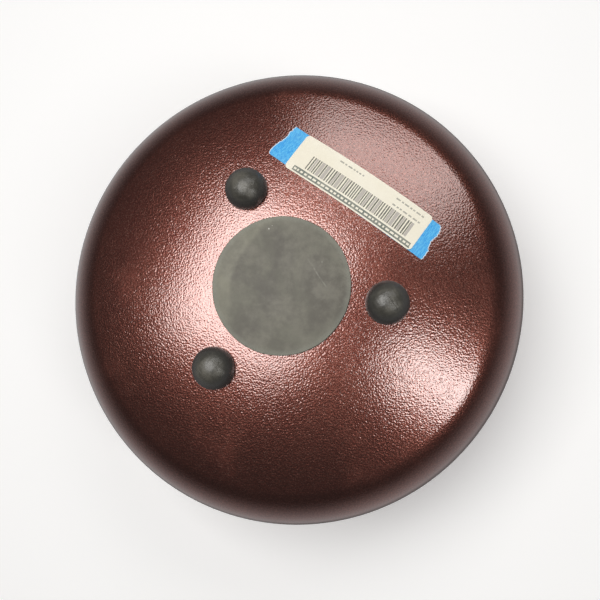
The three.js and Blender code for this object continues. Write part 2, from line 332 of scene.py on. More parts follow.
def paint(tree):
    """Maroon hammertone powder coat: pebbled orange peel, metallic flake, clear gloss."""
    # orange peel: rounded pebbles a little over a millimetre apart
    cell = tree.noise(scale=900, detail=1, rough=0.35)
    pebble = tree.ramp(cell, between=(0.32, 0.66))
    # the coat flows out smoother over the shoulder and the wall
    reach = tree.vec("LENGTH", tree.flat_position())
    flow = tree.ramp(reach, between=(0.116, 0.146), to=(1.0, 0.28))
    peel = tree.bump(tree.times(tree.minus(cell, 0.5), flow), distance=0.00016)
    # flake: each tiny grain has its own tone
    grid = tree.vec("FLOOR", tree.vec("SCALE", tree.coord["Object"], FLAKES_PER_METRE))
    grain = tree.node("TexWhiteNoise", {"Vector": grid}).outputs["Value"]
    glint = tree.ramp(grain, between=(0.86, 1.0), smooth=False)
    tone = tree.ramp(grain, between=(0.0, 0.8), to=(0.80, 1.12), smooth=False)
    # colour: slow drift over the shell, and painted shade that darkens the valleys of the
    # orange peel
    drift = tree.noise(scale=14, detail=2, rough=0.55)
    base = tree.mix(tree.ramp(drift, between=(0.3, 0.7)), PAINT_A, PAINT_B)
    # painted shade: the pebbles' valleys are darkened towards a deep maroon
    valley_shade = tree.ramp(pebble, between=(0.0, 1.0), to=(0.34, 0.0))
    base = tree.mix(valley_shade, base, PAINT_VALLEY_SHADE)
    base = tree.mix(tree.times(glint, flow), base, PAINT_FLAKE, amount=0.42)
    base = tree.vec("SCALE", base, tone)
    # handling: faint smears that dull the gloss
    smear = tree.ramp(tree.noise(scale=26, detail=4, rough=0.62), between=(0.52, 0.78))
    tree.surface(Base_Color=base, Metallic=1.0, Normal=peel, Specular_IOR_Level=0.5,
                 Roughness=tree.scaled(smear, base=0.33, gain=0.08),
                 Coat_Weight=1.0, Coat_Roughness=0.10, Coat_IOR=2.0, Coat_Normal=peel)


def inside_steel(tree):
    """Bare pressed steel inside the shells, with a little rust."""
    brush = tree.noise(scale=160, detail=4)
    rust = tree.ramp(tree.noise(scale=60, detail=6, rough=0.7), between=(0.56, 0.7))
    base = tree.mix(brush, srgb(96, 92, 88), srgb(124, 120, 116))
    base = tree.mix(rust, base, srgb(104, 66, 46), amount=0.6)
    tree.surface(Base_Color=base, Metallic=0.85,
                 Roughness=tree.scaled(rust, base=0.42, gain=0.35),
                 Normal=tree.bump(brush, distance=0.00004))


def foot_rubber(tree):
    """Moulded black rubber with a dusty bloom and a painted sheen on its crown."""
    bloom = tree.ramp(tree.noise(scale=120, detail=4), between=(0.35, 0.75))
    # dust and painted sheen: lighter where the rubber faces down, on the crown, towards the
    # lamps below
    down = tree.times(tree.split(tree.node("NewGeometry").outputs["Normal"])[2], -1.0)
    crown = tree.ramp(down, between=(0.55, 1.0))
    dust_and_sheen = tree.times(crown, tree.scaled(bloom, base=0.35, gain=0.65))
    base = tree.mix(dust_and_sheen, srgb(36, 35, 32), srgb(92, 89, 79))
    spots = tree.node("TexVoronoi", {"Scale": 900, "Vector": tree.coord["Object"]})
    speck = tree.ramp(spots.outputs["Distance"], between=(0.10, 0.04))
    base = tree.mix(speck, base, srgb(150, 146, 134), amount=0.25)
    grain = tree.plus(tree.noise(scale=900), tree.times(tree.noise(scale=180), 1.5))
    tree.surface(Base_Color=base, Normal=tree.bump(grain, distance=0.00006, strength=0.8),
                 Roughness=tree.scaled(bloom, base=0.34, gain=0.16),
                 Specular_IOR_Level=0.85, Sheen_Weight=0.12, Sheen_Roughness=0.6)


def painted_light_crescent(tree, flat, y, cloud):
    """Mask of a painted reflection: a light crescent outside a circle, faint towards +y."""
    distance = tree.vec("DISTANCE", flat, (0.0268, 0.0098, 0.0))
    ragged = tree.wander(distance, tree.noise(scale=55, detail=4, rough=0.65), amount=0.009)
    crescent_light = tree.ramp(ragged, between=(0.0570, 0.0612))
    crescent_light = tree.times(crescent_light, tree.ramp(y, between=(0.030, -0.012), to=(0.25, 1.0)))
    return tree.times(crescent_light, tree.scaled(cloud, base=0.55, gain=0.45))


def scuff_line(tree, x, y):
    """Mask of a thin broken line in the +x half, between two plan points."""
    (x0, y0), (x1, y1) = (0.0152, -0.0176), (0.0292, 0.0031)
    fade = 0.005           # length over which each end fades
    length = math.hypot(x1 - x0, y1 - y0)
    ux, uy = (x1 - x0) / length, (y1 - y0) / length
    x, y = tree.minus(x, x0), tree.minus(y, y0)
    along = tree.plus(tree.times(x, ux), tree.times(y, uy))
    across = tree.plus(tree.times(x, -uy), tree.times(y, ux))
    across = tree.wander(across, tree.noise(scale=70, detail=2, rough=0.5), amount=0.0026)
    line = tree.ramp(tree.math("ABSOLUTE", across), between=(0.00075, 0.00015))
    ends = tree.times(tree.ramp(along, between=(0.0, fade)),
                      tree.ramp(along, between=(length, length - fade)))
    line = tree.times(line, ends)
    broken = tree.ramp(tree.noise(scale=210, detail=2), between=(0.35, 0.6), to=(0.25, 1.0))
    return tree.times(line, broken)


def lint_specks(tree, flat):
    """Mask of three specks of lint."""
    def speck(x, y, fade):
        return tree.ramp(tree.vec("DISTANCE", flat, (x, y, 0.0)), between=fade)

    lint = speck(-0.0082, -0.0352, fade=(0.00062, 0.00035))
    # x, y, fade radii, strength
    for x, y, fade, strength in ((-0.0062, -0.0372, (0.0004, 0.0002), 0.6),
                                 (0.0254, -0.0143, (0.0005, 0.0002), 0.35)):
        lint = tree.math("MAXIMUM", lint, tree.times(speck(x, y, fade), strength))
    return lint


def cover_rubber(tree):
    """Mid grey rubber sheet, mottled by handling, with one long light scuff."""
    blotch = tree.ramp(tree.noise(scale=24, detail=4, distortion=0.8), between=(0.36, 0.66))
    cloud = tree.ramp(tree.noise(scale=75, detail=4, rough=0.65), between=(0.38, 0.70))
    fine = tree.noise(scale=260, rough=0.65)
    base = tree.mix(blotch, srgb(86, 82, 73), srgb(117, 116, 104))
    base = tree.mix(cloud, base, srgb(130, 127, 115), amount=0.66)
    base = tree.mix(tree.ramp(fine, between=(0.35, 0.7), to=(0.0, 0.28)), base,
                    srgb(90, 87, 78))
    x, y, _ = tree.split(tree.coord["Object"])
    flat = tree.flat_position()
    # painted reflection: a light crescent on the left, as of a bright area mirrored in the
    # rubber
    crescent_light = painted_light_crescent(tree, flat, y, cloud)
    base = tree.mix(crescent_light, base, srgb(144, 142, 126), amount=0.72)
    # painted highlight: the rim paler all round, as its rounded edge catching the light
    edge = COVER_R / 1000
    rim = tree.ramp(tree.vec("LENGTH", flat), between=(edge - 0.0042, edge - 0.0004))
    base = tree.mix(rim, base, srgb(148, 151, 140), amount=0.35)
    # painted shade: the steep cut edge is darkened, as the shadow line along the disc's side
    normal = tree.node("NewGeometry").outputs["True Normal"]
    tilt = tree.math("ABSOLUTE", tree.vec("DOT_PRODUCT", normal, (0, 0, 1)))
    base = tree.mix(tree.ramp(tilt, between=(0.75, 0.40), to=(0.0, 0.9)), base,
                    srgb(30, 28, 25))
    scuff = scuff_line(tree, x, y)
    base = tree.mix(scuff, base, srgb(156, 155, 144), amount=0.42)
    base = tree.mix(lint_specks(tree, flat), base, srgb(205, 205, 196), amount=0.8)
    # relief: two grains, cut into by the scuff
    height = tree.plus(tree.times(fine, 0.6), tree.times(tree.noise(scale=1300), 0.4))
    height = tree.minus(height, tree.times(scuff, 0.8))
    tree.surface(Base_Color=base, Normal=tree.bump(height, distance=0.00005),
                 Roughness=tree.scaled(blotch, base=0.50, gain=0.12), Specular_IOR_Level=0.5)


def zinc_steel(tree):
    base = tree.mix(tree.noise(scale=300, detail=4), srgb(150, 150, 152), srgb(196, 196, 198))
    tree.surface(Base_Color=base, Metallic=1.0, Roughness=0.34,
                 Normal=tree.bump(tree.noise(scale=1400), distance=0.00002))


def crepe_tape(tree):
    """Blue creped masking tape, its fine ridges running across the strip."""
    along = tree.node("Mapping", {
        "Vector": tree.coord["Object"],
        "Rotation": (0, 0, math.radians(TAPE_TURN)),
        "Scale": (1.0, 6.0, 1.0)}, vector_type="TEXTURE").outputs[0]
    crepe = tree.noise(scale=1700, vector=along)
    slow = tree.noise(scale=60, detail=4)
    base = tree.mix(tree.ramp(crepe, between=(0.3, 0.72)), srgb(52, 156, 234),
                    srgb(106, 203, 252))
    base = tree.mix(tree.ramp(slow, between=(0.4, 0.75), to=(0.0, 0.22)), base,
                    srgb(142, 212, 247))
    tree.surface(Base_Color=base, Roughness=0.62, Specular_IOR_Level=0.35,
                 Normal=tree.bump(crepe, distance=0.00012, strength=0.9))


def torn_edge(tree):
    """Pale fibres along a torn paper edge."""
    base = tree.mix(tree.noise(scale=1500), srgb(196, 222, 244), srgb(244, 248, 250))
    tree.surface(Base_Color=base, Roughness=0.8)


def label_paper(tree):
    fibre = tree.noise(scale=900, detail=5, rough=0.65)
    soil = tree.noise(scale=35, detail=4)
    base = tree.mix(tree.ramp(soil, between=(0.35, 0.75), to=(0.0, 0.5)),
                    srgb(252, 247, 231), srgb(243, 235, 212))
    base = tree.mix(tree.ramp(fibre, between=(0.3, 0.75), to=(0.0, 0.25)), base,
                    srgb(236, 230, 212))
    tree.surface(Base_Color=base, Roughness=0.5, Specular_IOR_Level=0.4,
                 Normal=tree.bump(fibre, distance=0.00002, strength=0.6))


def ink(tree, colour, fade):
    """Thermal print: not quite solid, broken up by the paper's grain."""
    grain, patch = tree.noise(scale=1600), tree.noise(scale=120)
    worn = tree.plus(tree.ramp(grain, between=(0.35, 0.7), to=(0.0, 0.35)),
                     tree.ramp(patch, between=(0.4, 0.75), to=(0.0, fade)))
    tree.surface(Base_Color=tree.mix(worn, colour, srgb(206, 200, 184)), Roughness=0.55,
                 Specular_IOR_Level=0.4)


SHELL_MATERIALS = [make_material("maroon_hammertone", paint),
                   make_material("inside_steel", inside_steel)]
OUTSIDE, INSIDE = 0, 1
PAINT = SHELL_MATERIALS[OUTSIDE]
FOOT_RUBBER = make_material("foot_rubber", foot_rubber)
COVER_RUBBER = make_material("cover_rubber", cover_rubber)
STEEL = make_material("zinc_steel", zinc_steel)
TAPE_MATERIALS = [make_material("blue_crepe_tape", crepe_tape),
                  make_material("torn_edge", torn_edge)]
TORN = 1
LABEL_MATERIALS = [
    make_material("label_paper", label_paper),
    make_material("label_ink", ink, colour=srgb(84, 86, 80), fade=0.12),
    make_material("label_band", ink, colour=srgb(104, 114, 108), fade=0.25),
    make_material("label_ink_faint", ink, colour=srgb(168, 167, 158), fade=0.35),
    make_material("label_ink_grey", ink, colour=srgb(188, 182, 176), fade=0.2)]
PAPER, DARK, BAND, FAINT, GREY = range(5)

# ---------------------------------------------------------------------------
# Dome sheet, triangulated in plan, so slots and holes are real openings with real walls.
# `side` is 1 for the upper shell and -1 for the lower one.
# ---------------------------------------------------------------------------
# points: closed plan loop with the material on its left
# cut:    True at vertices on a cut edge
# inward: unit offsets into the material
Loop = namedtuple("Loop", "points cut inward")


def on_dome(plan, depth, side):
    """Plan points at `depth` inside the outer face, as 3-D points and outward normals."""
    height = dome_height(np.hypot(plan[:, 0], plan[:, 1]), -depth)
    points = np.column_stack([plan, SEAM_Z + side * height])
    return points, unit(np.column_stack([plan, side * (height - DOME_C)]))


def offset_dirs(loop):
    """Unit-distance offset directions of a closed loop, into the left of its walk."""
    edge = unit(np.roll(loop, -1, 0) - loop)
    left = np.stack([-edge[:, 1], edge[:, 0]], 1)
    middle = unit(left + np.roll(left, 1, 0))
    return middle / np.clip((middle * left).sum(1, keepdims=True), 0.6, 1.0)


def inside_loop(points, loop):
    x, y = points[:, 0][:, None], points[:, 1][:, None]
    a, b = loop, np.roll(loop, -1, 0)
    crosses = (a[:, 1] > y) != (b[:, 1] > y)
    rise = b[:, 1] - a[:, 1]
    rise = np.where(np.abs(rise) < 1e-12, 1e-12, rise)
    cross_x = a[:, 0] + (y - a[:, 1]) * (b[:, 0] - a[:, 0]) / rise
    return (crosses & (x < cross_x)).sum(1) % 2 == 1


def in_material(points, outline, holes):
    found = inside_loop(points, outline)
    for hole in holes:
        found &= ~inside_loop(points, hole)
    return found


def fill_points(outline, holes, border, spacing, margin):
    """Staggered grid in the material, more than `margin` from every border vertex."""
    low, high = outline.min(0), outline.max(0)
    rows = []
    y = low[1] + spacing / 2
    while y < high[1]:
        start = low[0] + (spacing / 2 if len(rows) % 2 else spacing)
        xs = np.arange(start, high[0], spacing)
        rows.append(np.stack([xs, np.full_like(xs, y)], 1))
        y += spacing * 0.866
    grid = np.concatenate(rows)
    grid = grid[in_material(grid, outline, holes)]
    nearest = np.full(len(grid), 1e9)
    for i in range(0, len(border), 400):        # in batches, to save memory
        gaps = ((grid[:, None] - border[None, i:i + 400]) ** 2).sum(2)
        nearest = np.minimum(nearest, np.sqrt(gaps).min(1))
    return grid[nearest > margin]


def fill(outline, holes, spacing, margin):
    """Counter-clockwise plan triangles (M x 3 x 2) filling the outline less its holes."""
    loops = [outline] + holes
    edges, at = [], 0
    for loop in loops:
        edges += [(at + i, at + (i + 1) % len(loop)) for i in range(len(loop))]
        at += len(loop)
    border = np.concatenate(loops)
    points = np.concatenate([border, fill_points(outline, holes, border, spacing, margin)])
    result = delaunay_2d_cdt([Vector(p) for p in points.tolist()], edges, [], 0, 1e-7)
    vertices = np.array([[p.x, p.y] for p in result[0]])
    # keep the exact input coordinates, so neighbouring meshes weld
    for i, sources in enumerate(result[3]):
        if sources:
            vertices[i] = points[sources[0]]
    faces = np.array([face for face in result[2] if len(face) == 3])
    faces = faces[in_material(vertices[faces].mean(1), outline, holes)]
    triangles = vertices[faces]
    (ax, ay), (bx, by), (cx, cy) = triangles.transpose(1, 2, 0)
    area = (bx - ax) * (cy - ay) - (cx - ax) * (by - ay)
    solid = np.abs(area) > 1e-9
    triangles, area = triangles[solid], area[solid]
    triangles[area < 0] = triangles[area < 0][:, ::-1]
    return triangles


def cut_edge(skin, loop, side):
    """Rounded edge and wall along the cut part of a loop, and a cap on its join line."""
    wall = unit(np.column_stack([-loop.inward, np.zeros(len(loop.inward))]))
    rows, normals = [], []
    for turn in np.radians([0, 30, 60, 90]):
        sine, cosine = math.sin(turn), math.cos(turn)
        plan = loop.points + loop.inward * FILLET * (1 - sine)
        row, outward = on_dome(plan, FILLET * (1 - cosine), side)
        rows.append(row)
        normals.append(cosine * outward + sine * wall)
    rows.append(on_dome(loop.points, SHEET, side)[0])
    normals.append(wall)
    grid, normals = np.stack(rows, 1), unit(np.stack(normals, 1))
    here = np.flatnonzero(loop.cut & np.roll(loop.cut, -1))     # both ends on the cut edge
    after = (here + 1) % len(loop.points)
    for row in range(grid.shape[1] - 1):
        faces = [np.stack([field[here, row], field[here, row + 1],
                           field[after, row + 1], field[after, row]], 1)[:, ::side]
                 for field in (grid, normals)]
        skin.add(*faces)
    if not loop.cut.all():
        join_cap(skin, loop, grid, side)


def join_cap(skin, loop, grid, side):
    """Cap on the join line, cell by cell, between the two ends of the cut edge."""
    order = [np.flatnonzero(loop.cut & ~np.roll(loop.cut, -1))[0]]
    while len(order) == 1 or not loop.cut[order[-1]]:
        order.append((order[-1] + 1) % len(loop.points))
    # the material is on the left, so the cap faces right of the walk
    walk = np.append(loop.points[order[-1]] - loop.points[order[0]], 0.0)
    normal = unit(np.cross(walk, [0, 0, 1.0]))
    columns = [grid[i] if loop.cut[i] else grid[i][[0, -1]] for i in order]
    for column, following in zip(columns, columns[1:]):
        ring = np.concatenate([column, following[::-1]])[None]
        skin.add(ring[:, ::side], normal)


def sheet(skin, outline, holes, side, spacing=3.2):
    """Adds a piece of dome sheet: both faces, and the edges of every cut loop."""
    loops = [outline] + holes
    # depth, inset of the loops, point spacing, margin, facing, material
    for depth, inset, pitch, margin, facing, material in (
            (0.0, FILLET, spacing, spacing * 0.42, 1, OUTSIDE),
            (SHEET, 0.0, spacing * 2.2, spacing * 0.8, -1, INSIDE)):
        rings = [loop.points + loop.inward * inset for loop in loops]
        triangles = fill(rings[0], rings[1:], pitch, margin)
        points, normals = on_dome(triangles.reshape(-1, 2), depth, side)
        order = side * facing
        skin.add(points.reshape(-1, 3, 3)[:, ::order],
                 facing * normals.reshape(-1, 3, 3)[:, ::order], material)
    for loop in loops:
        if loop.cut.any():
            cut_edge(skin, loop, side)


def meeting_loop():
    """Outline of the dome mesh; the shoulder joins here, so it has no cut edge."""
    return Loop(circle(MEET_R, MEET_COUNT), np.zeros(MEET_COUNT, bool),
                np.zeros((MEET_COUNT, 2)))


def round_hole(x, y, radius, count):
    points = (np.array([x, y]) + circle(radius, count))[::-1]
    return Loop(points, np.ones(count, bool), offset_dirs(points))


# ---------------------------------------------------------------------------
# Shoulder and wall
# ---------------------------------------------------------------------------
def shoulder_rows(offset, facing, corner_count, wall_heights):
    """Rows (radius, height, normal out, normal up) from the dome mesh down the wall."""
    rows = []
    dome_r, corner_r = DOME_R + offset, CORNER_R + offset
    arcs = ((0.0, DOME_C, dome_r, np.linspace(math.asin(MEET_R / dome_r), DOME_END, 3)),
            (CORNER_RING_R, WALL_H, corner_r,
             np.linspace(DOME_END, math.pi / 2, corner_count)[1:]))
    for centre_r, centre_h, radius, angles in arcs:
        for angle in angles:
            sine, cosine = math.sin(angle), math.cos(angle)
            rows.append((centre_r + radius * sine, centre_h + radius * cosine,
                         facing * sine, facing * cosine))
    return rows + [(RIM_R + offset, height, facing, 0.0) for height in wall_heights]


def shoulder(skin, side):
    outer = shoulder_rows(0.0, 1, corner_count=22, wall_heights=(11.0, 6.0, 1.6))
    inner = shoulder_rows(-SHEET, -1, corner_count=12, wall_heights=(6.0,))
    # rim edge, a little rounded
    edge_h, rounding = WELD_GAP / 2, 0.25
    rim = [(RIM_R, edge_h + rounding, 1, 0),
           (RIM_R - rounding, edge_h, 0, -1),
           (RIM_R - SHEET + rounding, edge_h, 0, -1),
           (RIM_R - SHEET, edge_h + rounding, -1, 0)]
    angle = turns(MEET_COUNT)[:, None]
    for rows, material in ((outer + rim[:1], OUTSIDE), (rim, OUTSIDE),
                           (rim[-1:] + inner[::-1], INSIDE)):
        radius, height, normal_out, normal_up = np.array(rows, float).T
        skin.add_grid(revolve(radius, angle, SEAM_Z + side * height),
                      revolve(normal_out, angle, side * normal_up),
                      material, around=True, flip=side > 0)


# ---------------------------------------------------------------------------
# Tongues. In a tongue's own plan frame x runs across it and y towards its tip.
# ---------------------------------------------------------------------------
Tongue = namedtuple("Tongue", "place inner outer join")


def outer_place(azimuth):
    """Origin, x and y directions of a tongue that points at the axis."""
    angle = math.radians(azimuth)
    origin = ROOT_RING_R * np.array([math.cos(angle), math.sin(angle)])
    across = angle + math.pi / 2
    return (origin, np.array([math.cos(across), math.sin(across)]),
            np.array([-math.sin(across), math.cos(across)]))


def edge_curve(length, root_half, tip_half, grow):
    """+x side, round tip and -x side of a tongue edge, `grow` outside it."""
    centre, radius = np.array([0.0, length - tip_half]), tip_half + grow
    root = np.array([root_half + grow, 0.0])
    to_centre = centre - root
    distance = np.linalg.norm(to_centre)
    # the side is the tangent from the root to the tip circle
    angle = math.atan2(to_centre[1], to_centre[0]) - math.asin(radius / distance)
    tangent_len = math.sqrt(distance * distance - radius * radius)
    touch = root + tangent_len * np.array([math.cos(angle), math.sin(angle)])
    steps = int(tangent_len / 2.0)
    side = root + (touch - root) * np.linspace(0, 1, steps + 1)[:, None]
    start = math.atan2(*(touch - centre)[::-1])
    steps = int((math.pi - 2 * start) * radius)
    turn = np.linspace(start, math.pi - start, steps + 1)[1:]
    tip = centre + radius * np.stack([np.cos(turn), np.sin(turn)], 1)
    return np.concatenate([side, tip, (side * [-1, 1])[::-1][1:]])


def make_tongue(place, length, root_half, tip_half):
    """The tongue's outline and the opening it lies in, sharing the join line."""
    hole_x = root_half + KERF / 2
    hole = np.array([hole_x, JOIN_Y])

    def relieved(curve, arc_start, arc_count):
        """Ends the curve in arcs of the relief holes, from their inmost points."""
        along = unit(curve[1] - curve[0])
        start = curve[0] - hole
        back = start @ along
        run = -back + math.sqrt(back * back - (start @ start - RELIEF_R * RELIEF_R))
        hit = curve[0] + along * run       # where the side leaves the hole
        arc_end = math.atan2(hit[1] - JOIN_Y, hit[0] - hole_x)
        arc = np.linspace(arc_start, arc_end, arc_count)
        arc = hole + RELIEF_R * np.stack([np.cos(arc), np.sin(arc)], 1)
        middle = curve[curve[:, 1] > hit[1] + 0.3]
        return np.concatenate([arc, middle, arc[::-1] * [-1, 1]])

    inner = relieved(edge_curve(length, root_half, tip_half, 0.0), math.pi, 9)
    outer = relieved(edge_curve(length, root_half, tip_half, KERF), -math.pi, 25)
    join = np.linspace(-(hole_x - RELIEF_R), hole_x - RELIEF_R, 25)[1:-1]
    return Tongue(place, inner, outer, np.stack([join, np.full_like(join, JOIN_Y)], 1))


def tongue_loop(tongue, edge, clockwise):
    """The edge, from the +x to the -x end of the join line, closed by that line."""
    order = -1 if clockwise else 1
    points = np.concatenate([edge, tongue.join])
    cut = np.arange(len(points)) < len(edge)
    inward = offset_dirs(points[::order])[::order].copy()
    # at both ends of the join line the offset runs along that line
    inward[0] = [-1.0, 0.0]
    inward[len(edge) - 1] = [1.0, 0.0]
    inward[~cut] = 0.0
    origin, x_dir, y_dir = tongue.place

    def world(plan):
        return (plan[:, :1] * x_dir + plan[:, 1:] * y_dir)[::order]
    return Loop(origin + world(points), cut[::order], world(inward))


TONGUES = {
    f"tongue_{i}": make_tongue(outer_place(azimuth), length, ROOT_HALF, TIP_HALF)
    for i, (azimuth, length) in enumerate(OUTER_TONGUES, 1)}
TONGUES["tongue_centre"] = make_tongue(
    (np.array(CENTRE_ORIGIN), np.array([1.0, 0.0]), np.array([0.0, 1.0])),
    CENTRE_LENGTH, CENTRE_ROOT_HALF, CENTRE_TIP_HALF)


def tongue_skin(node, tongue):
    skin = Skin()
    sheet(skin, tongue_loop(tongue, tongue.inner, clockwise=False), [], 1, spacing=2.6)
    return skin.build(node + "_skin", SHELL_MATERIALS)


def shell(name, side, holes):
    skin = Skin()
    sheet(skin, meeting_loop(), holes, side)
    shoulder(skin, side)
    return skin.build(name, SHELL_MATERIALS)


def upper_shell():
    return shell("upper_shell_skin", 1,
                 [tongue_loop(tongue, tongue.outer, clockwise=True)
                  for tongue in TONGUES.values()])


# ---------------------------------------------------------------------------
# Feet frames and the lower shell
# ---------------------------------------------------------------------------
def foot_place(azimuth):
    """Rotation and base point of a foot; its own z points out of the lower dome."""
    angle = math.radians(azimuth)
    base = np.array([FOOT_RING_R * math.cos(angle), FOOT_RING_R * math.sin(angle),
                     SEAM_Z - float(dome_height(FOOT_RING_R))])
    outward = unit(np.array([base[0], base[1], base[2] - (SEAM_Z - DOME_C)]))
    turn = Vector((0, 0, 1)).rotation_difference(Vector(outward))
    return np.array(turn.to_matrix(), float), base


FOOT_PLACES = [foot_place(azimuth) for azimuth in FOOT_AZIMUTHS]


def at_foot(grid, i):
    rotation, base = FOOT_PLACES[i]
    return grid @ rotation.T + base


def lower_shell():
    """With the sound port and three stud holes."""
    holes = [round_hole(0, 0, PORT_R, 160)]
    holes += [round_hole(base[0], base[1], STUD_HOLE_R, 28) for _, base in FOOT_PLACES]
    return shell("lower_shell_skin", -1, holes)


# ---------------------------------------------------------------------------
# Weld bead, dressed by hand and coated over
# ---------------------------------------------------------------------------
def weld_bead():
    seat, half_gap, inner_r = 0.03, WELD_GAP / 2 - 0.04, RIM_R - SHEET
    crown = [(RIM_R + seat + (WELD_PROUD - seat) * (1 - abs(a) ** 2.4), WELD_W / 2 * a)
             for a in np.linspace(-1, 1, 11)]
    root = [(RIM_R + seat, half_gap), (inner_r, half_gap), (inner_r - 0.25, half_gap * 0.5)]
    root += [(radius, -z) for radius, z in root[::-1]]
    radius, z = np.array(crown + root + crown[:1]).T
    angle = turns(900)[:, None]
    phase = np.random.default_rng(11).uniform(0, 6.28, 6)
    # only the proud part of the bead ripples and drifts
    lift = np.clip((radius - RIM_R) / WELD_PROUD, 0, 1)
    ripple = waves(angle, ((0.05, 190, 1.3 * np.sin(7 * angle + phase[0])),
                           (0.06, 23, phase[1]), (0.04, 61, phase[2])))
    drift = waves(angle, ((0.10, 9, phase[3]), (0.05, 31, phase[4])))
    grid = revolve(radius + ripple * lift, angle, SEAM_Z + z + drift * lift)
    return turned_piece("weld_bead_skin", grid, PAINT, sharp=50, flip=False)


# ---------------------------------------------------------------------------
# Cover disc, laid on the lower dome
# ---------------------------------------------------------------------------
def port_cover():
    edge_r = 0.5
    profile = [(r, COVER_T) for r in np.linspace(0, COVER_R - edge_r, 26)]
    for a in np.linspace(0, math.pi / 2, 5)[1:]:
        profile.append((COVER_R - edge_r + edge_r * math.sin(a),
                        COVER_T - edge_r + edge_r * math.cos(a)))
    profile += [(COVER_R + 0.02, 0.55), (COVER_R - 0.02, 0.16), (COVER_R - 0.15, 0.0)]
    profile += [(r, 0.0) for r in np.linspace(COVER_R - 2.0, 0, 12)]
    radius, height = np.array(profile).T
    angle = turns(288)[:, None]
    phase = np.random.default_rng(5).uniform(0, 6.28, 12)
    # the rim stands off the dome in slow waves, and its outline is a little ragged
    rim = np.clip((radius - 30) / 13.0, 0, 1) ** 2
    wave = 0.10 + waves(angle, ((0.06, 2, phase[0]), (0.05, 3, phase[1]),
                                (0.03, 5, phase[2]), (0.02, 9, phase[3])))
    ragged = waves(angle, ((0.05, 7, phase[4]), (0.035, 13, phase[5]),
                           (0.02, 29, phase[6])))
    wide = radius + ragged * (radius > COVER_R - 1.0)
    z = SEAM_Z - dome_height(wide, height + 0.06 + rim * wave)
    return turned_piece("cover_disc_skin", revolve(wide, angle, z), COVER_RUBBER, sharp=60)


# ---------------------------------------------------------------------------
# Feet: moulded domes with small creases and scuffs pressed into the rubber
# ---------------------------------------------------------------------------
FOOT_BASE, FOOT_SKIRT = 0.05, 1.6     # heights where the foot and its domed part start
FOOT_CROWN = FOOT_H - 0.42
# per foot, from the foot's centre along the drum's x and y:
# start x, start y, end x, end y, depth, width
CREASES = (
    ((-4.6, 4.2, 3.8, 2.2, 0.10, 0.55), (-2.0, -8.0, -0.5, -3.0, 0.05, 0.7)),
    ((-0.6, -2.6, 3.2, 1.9, 0.16, 0.34), (3.2, 1.9, 5.2, 5.6, 0.08, 0.45),
     (-2.6, -0.6, 0.4, 3.9, 0.05, 0.5)),
    ((-5.2, -0.8, -3.6, 3.0, 0.14, 0.35), (6.4, -2.4, 6.2, 1.6, 0.12, 0.5),
     (-1.0, -4.6, 2.4, -4.0, 0.05, 0.5)),
)


def foot_profile():
    """Profile (radius, z) and the mask of its domed part."""
    pocket_r, bore_r, edge_r = STUD_HEAD_R + 0.15, STUD_R + 0.2, 0.7
    profile = [(0.0, 5.3), (pocket_r, 5.3), (pocket_r, 3.1), (bore_r, 3.1),
               (bore_r, FOOT_BASE)]
    # the underside follows the drum's dome
    for r in np.linspace(bore_r, FOOT_R - edge_r, 5)[1:]:
        profile.append((r, FOOT_BASE - r * r / (2 * DOME_R)))
    edge_z = FOOT_BASE - (FOOT_R - edge_r / 2) ** 2 / (2 * DOME_R)
    for a in np.linspace(0.2, 1, 4) * math.pi / 2:
        profile.append((FOOT_R - edge_r + edge_r * math.sin(a),
                        edge_z + edge_r * (1 - math.cos(a))))
    dome_start = len(profile)
    for a in np.linspace(0, 1, 54) * math.pi / 2:
        profile.append((FOOT_R * math.cos(a) ** 0.94,
                        FOOT_SKIRT + (FOOT_CROWN - FOOT_SKIRT) * math.sin(a)))
    return np.array(profile), np.arange(len(profile)) >= dome_start


def crease_depth(x, y, creases, phase):
    """Depth of the creases, each a slightly bent groove with a low lip beside it."""
    total = np.zeros_like(x)
    for x0, y0, x1, y1, depth, width in creases:
        length = math.hypot(x1 - x0, y1 - y0)
        ux, uy = (x1 - x0) / length, (y1 - y0) / length
        along = (x - x0) * ux + (y - y0) * uy
        bend = 0.35 * np.sin(along * 1.1 + phase)
        across = -(x - x0) * uy + (y - y0) * ux + bend
        ends = np.clip(along / 0.8, 0, 1) * np.clip((length - along) / 0.8, 0, 1)
        groove = np.exp(-(across / width) ** 2)
        lip = np.exp(-((across - 1.7 * width) / (1.2 * width)) ** 2)
        total += depth * (groove - 0.35 * lip) * ends
    return total


